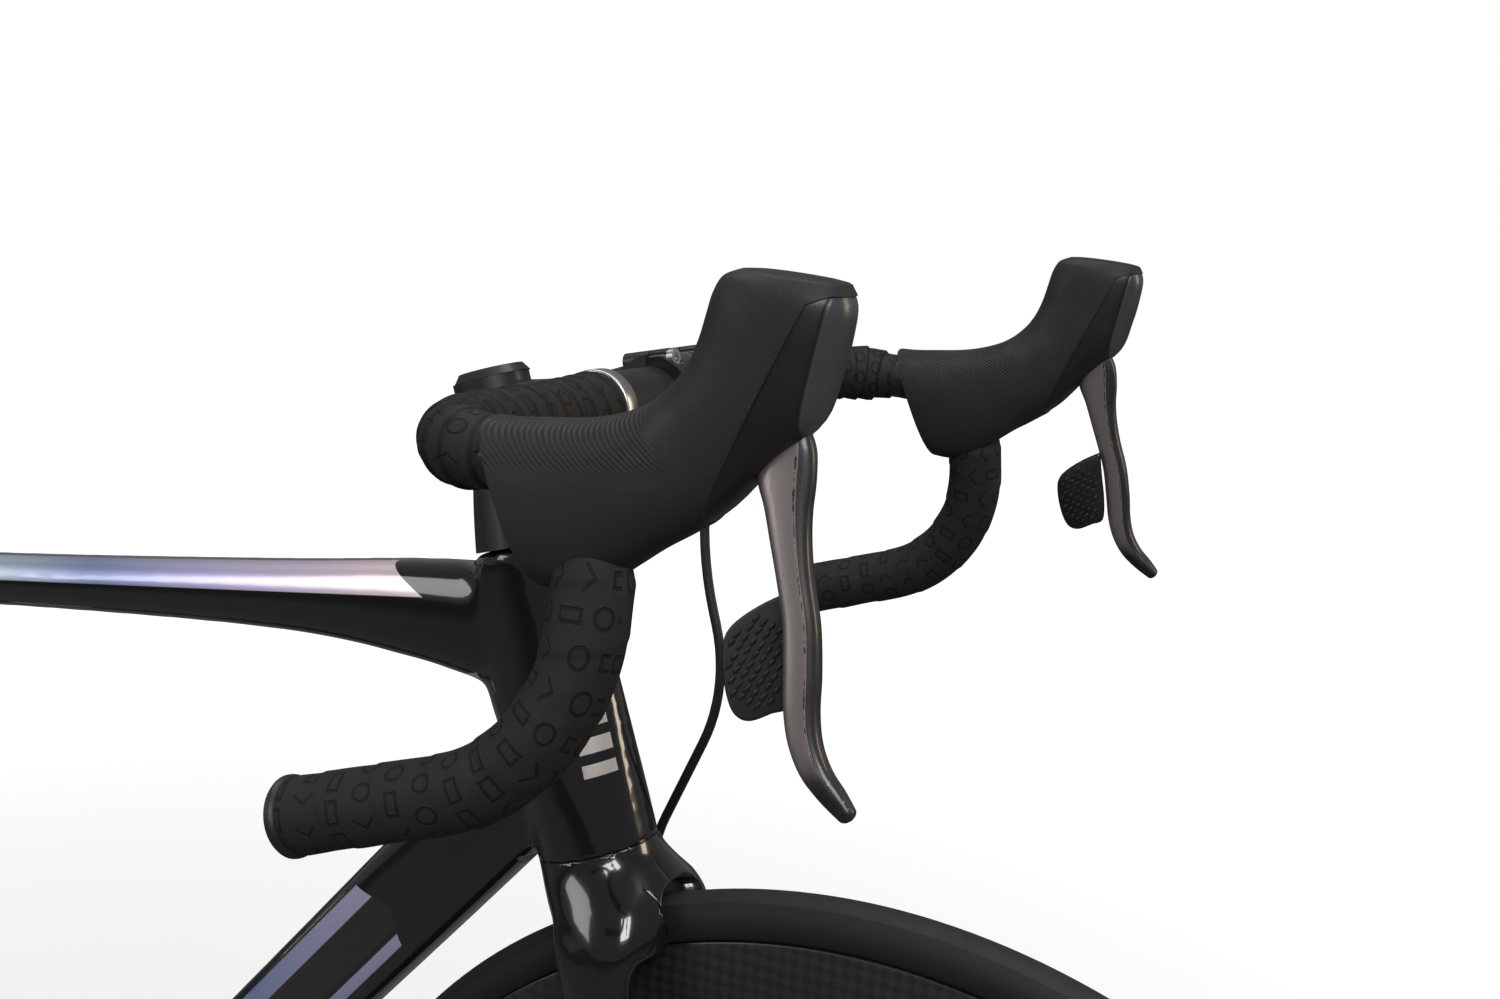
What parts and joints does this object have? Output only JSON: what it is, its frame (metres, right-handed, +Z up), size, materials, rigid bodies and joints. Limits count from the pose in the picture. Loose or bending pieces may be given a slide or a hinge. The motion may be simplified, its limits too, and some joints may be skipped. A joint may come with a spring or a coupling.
{
  "type": "road bicycle",
  "caption": "Drop-bar road bicycle with deep-rim wheels, disc brakes, hooded brake and shift levers, derailleur drivetrain and clipless pedals.",
  "frame": {"origin": "centre of the crank axle, midway across the bottom bracket", "axes": "+X forward along the wheelbase, +Y to the rider's left along the crank axle, +Z up"},
  "size_m": [1.6682, 0.4964, 0.982],
  "materials": {
    "carbon_gloss": "black carbon under clear lacquer",
    "carbon_satin": "satin black carbon",
    "black_alloy": "black anodised",
    "steel": "bright steel",
    "grey_alloy": "grey anodised, worn at the edges",
    "black_plastic": "moulded, satin",
    "hood_rubber": "soft matt rubber",
    "tape": "embossed padded tape",
    "tyre": "smooth tread",
    "saddle_cover": "smooth synthetic cover"
  },
  "bodies": {
    "frame": {"head_tube": "carbon_gloss", "down_tube": "carbon_gloss", "top_tube": "carbon_gloss", "seat_tube": "carbon_gloss", "bottle_bosses": "black_alloy", "bb_shell": "carbon_gloss", "chainstays": "carbon_gloss", "seatstays": "carbon_gloss", "seat_clamp": "black_alloy", "rear_axle": "black_alloy", "rear_caliper": "black_alloy", "derailleur_knuckle": "grey_alloy", "front_derailleur": "grey_alloy", "chain": "steel"},
    "saddle_and_post": {"seatpost": "black_alloy", "saddle_rails": "steel", "saddle": "saddle_cover"},
    "steering": {"fork": "carbon_gloss", "front_axle": "black_alloy", "front_caliper": "black_alloy", "front_hose": "black_plastic", "headset_cone": "black_alloy", "stem": "black_alloy", "stem_faceplate": "black_alloy", "stem_bolts": "steel", "stem_cap": "black_alloy", "handlebar": "black_alloy", "bar_tape": "tape", "lever_bodies": "black_plastic", "hoods": "hood_rubber"},
    "front_wheel": {"front_tyre": "tyre", "front_rim": "carbon_satin", "front_spokes": "steel", "front_hub": "black_alloy", "front_rotor": "steel"},
    "rear_wheel": {"rear_tyre": "tyre", "rear_rim": "carbon_satin", "rear_spokes": "steel", "rear_hub": "black_alloy", "rear_rotor": "steel"},
    "cassette": {"cassette": "steel"},
    "cranks": {"crank_right": "carbon_satin", "crank_left": "carbon_satin", "chainrings": "grey_alloy"},
    "pedal_right": {"pedal_right": "black_plastic"},
    "pedal_left": {"pedal_left": "black_plastic"},
    "brake_lever_left": {"brake_lever_left": "grey_alloy"},
    "brake_lever_right": {"brake_lever_right": "grey_alloy"},
    "shift_paddle_left": {"shift_paddle_left": "black_plastic"},
    "shift_paddle_right": {"shift_paddle_right": "black_plastic"},
    "front_pad_left": {"front_pad_left": "steel"},
    "front_pad_right": {"front_pad_right": "steel"},
    "rear_pad_left": {"rear_pad_left": "steel"},
    "rear_pad_right": {"rear_pad_right": "steel"},
    "derailleur_link": {"derailleur_link": "grey_alloy"},
    "cage_knuckle": {"cage_knuckle": "grey_alloy"},
    "pulley_cage": {"pulley_cage": "grey_alloy"},
    "upper_pulley": {"upper_pulley": "black_plastic"},
    "lower_pulley": {"lower_pulley": "black_plastic"},
    "chain_guide_cage": {"chain_guide_cage": "grey_alloy"}
  },
  "joints": [
    {"name": "steering_turn", "type": "hinge", "parent": "frame", "child": "steering", "pos_m": [0.54308, 0, 0.05547], "axis": [-0.3007, 0, 0.9537], "range_deg": [-60, 60]},
    {"name": "front_wheel_spin", "type": "hinge", "parent": "steering", "child": "front_wheel", "pos_m": [0.586, 0, 0.069], "axis": [0, 1, 0], "continuous": true},
    {"name": "rear_wheel_spin", "type": "hinge", "parent": "frame", "child": "rear_wheel", "pos_m": [-0.40415, 0, 0.069], "axis": [0, 1, 0], "continuous": true},
    {"name": "crank_spin", "type": "hinge", "parent": "frame", "child": "cranks", "pos_m": [0, 0, 0], "axis": [0, 1, 0], "continuous": true, "deforming": ["chain"]},
    {"name": "cassette_spin", "type": "hinge", "parent": "frame", "child": "cassette", "pos_m": [-0.40415, 0, 0.069], "axis": [0, 1, 0], "continuous": true},
    {"name": "pedal_right_spin", "type": "hinge", "parent": "cranks", "child": "pedal_right", "pos_m": [0.1725, 0, 0], "axis": [0, 1, 0], "continuous": true},
    {"name": "pedal_left_spin", "type": "hinge", "parent": "cranks", "child": "pedal_left", "pos_m": [-0.1725, 0, 0], "axis": [0, 1, 0], "continuous": true},
    {"name": "seatpost_height", "type": "slide", "parent": "frame", "child": "saddle_and_post", "axis": [-0.284, 0, 0.9588], "range_m": [-0.06, 0.09]},
    {"name": "brake_lever_left_pull", "type": "hinge", "parent": "steering", "child": "brake_lever_left", "pos_m": [0.614, 0.206, 0.655], "axis": [0, 0.9863, 0.165], "range_deg": [0, 17], "stiffness_Nm_per_rad": 0.6, "springref_deg": -14.32},
    {"name": "brake_lever_right_pull", "type": "hinge", "parent": "steering", "child": "brake_lever_right", "pos_m": [0.614, -0.206, 0.655], "axis": [0, 0.9863, -0.165], "range_deg": [0, 17], "stiffness_Nm_per_rad": 0.6, "springref_deg": -14.32},
    {"name": "shift_paddle_left_press", "type": "hinge", "parent": "brake_lever_left", "child": "shift_paddle_left", "pos_m": [0.6215, 0.20778, 0.59953], "axis": [-0.1024, -0.1642, 0.9811], "range_deg": [0, 8], "stiffness_Nm_per_rad": 0.2, "springref_deg": -11.46},
    {"name": "shift_paddle_right_press", "type": "hinge", "parent": "brake_lever_right", "child": "shift_paddle_right", "pos_m": [0.6215, -0.20778, 0.59953], "axis": [0.1024, -0.1642, -0.9811], "range_deg": [0, 8], "stiffness_Nm_per_rad": 0.2, "springref_deg": -11.46},
    {"name": "front_pad_left_close", "type": "slide", "parent": "steering", "child": "front_pad_left", "axis": [0, -1, 0], "range_m": [0, 0.00025]},
    {"name": "front_pad_right_close", "type": "slide", "parent": "steering", "child": "front_pad_right", "axis": [0, 1, 0], "range_m": [0, 0.00025]},
    {"name": "rear_pad_left_close", "type": "slide", "parent": "frame", "child": "rear_pad_left", "axis": [0, -1, 0], "range_m": [0, 0.00025]},
    {"name": "rear_pad_right_close", "type": "slide", "parent": "frame", "child": "rear_pad_right", "axis": [0, 1, 0], "range_m": [0, 0.00025]},
    {"name": "derailleur_link_swing", "type": "hinge", "parent": "frame", "child": "derailleur_link", "pos_m": [-0.41615, -0.086, 0.02], "axis": [0.8772, 0, 0.4801], "range_deg": [-20, 20]},
    {"name": "cage_knuckle_level", "type": "hinge", "parent": "derailleur_link", "child": "cage_knuckle", "pos_m": [-0.39119, -0.086, -0.02561], "axis": [0.8772, 0, 0.4801], "range_deg": [-20, 20]},
    {"name": "pulley_cage_swing", "type": "hinge", "parent": "cage_knuckle", "child": "pulley_cage", "pos_m": [-0.39115, 0, -0.027], "axis": [0, 1, 0], "range_deg": [-25, 30], "stiffness_Nm_per_rad": 0.5},
    {"name": "upper_pulley_spin", "type": "hinge", "parent": "pulley_cage", "child": "upper_pulley", "pos_m": [-0.38715, 0, -0.033], "axis": [0, 1, 0], "continuous": true},
    {"name": "lower_pulley_spin", "type": "hinge", "parent": "pulley_cage", "child": "lower_pulley", "pos_m": [-0.34808, 0, -0.09819], "axis": [0, 1, 0], "continuous": true},
    {"name": "chain_guide_shift", "type": "slide", "parent": "frame", "child": "chain_guide_cage", "axis": [0, 1, 0], "range_m": [0, 0.0065]}
  ],
  "couplings": [
    {"joint": "cassette_spin", "follows": "crank_spin", "ratio": 2.8235},
    {"joint": "upper_pulley_spin", "follows": "crank_spin", "ratio": -4},
    {"joint": "lower_pulley_spin", "follows": "crank_spin", "ratio": 4},
    {"joint": "front_pad_left_close", "follows": "brake_lever_left_pull", "m_per_rad": 0.00084258},
    {"joint": "front_pad_right_close", "follows": "brake_lever_left_pull", "m_per_rad": 0.00084258},
    {"joint": "rear_pad_left_close", "follows": "brake_lever_right_pull", "m_per_rad": 0.00084258},
    {"joint": "rear_pad_right_close", "follows": "brake_lever_right_pull", "m_per_rad": 0.00084258},
    {"joint": "cage_knuckle_level", "follows": "derailleur_link_swing", "ratio": -1}
  ]
}
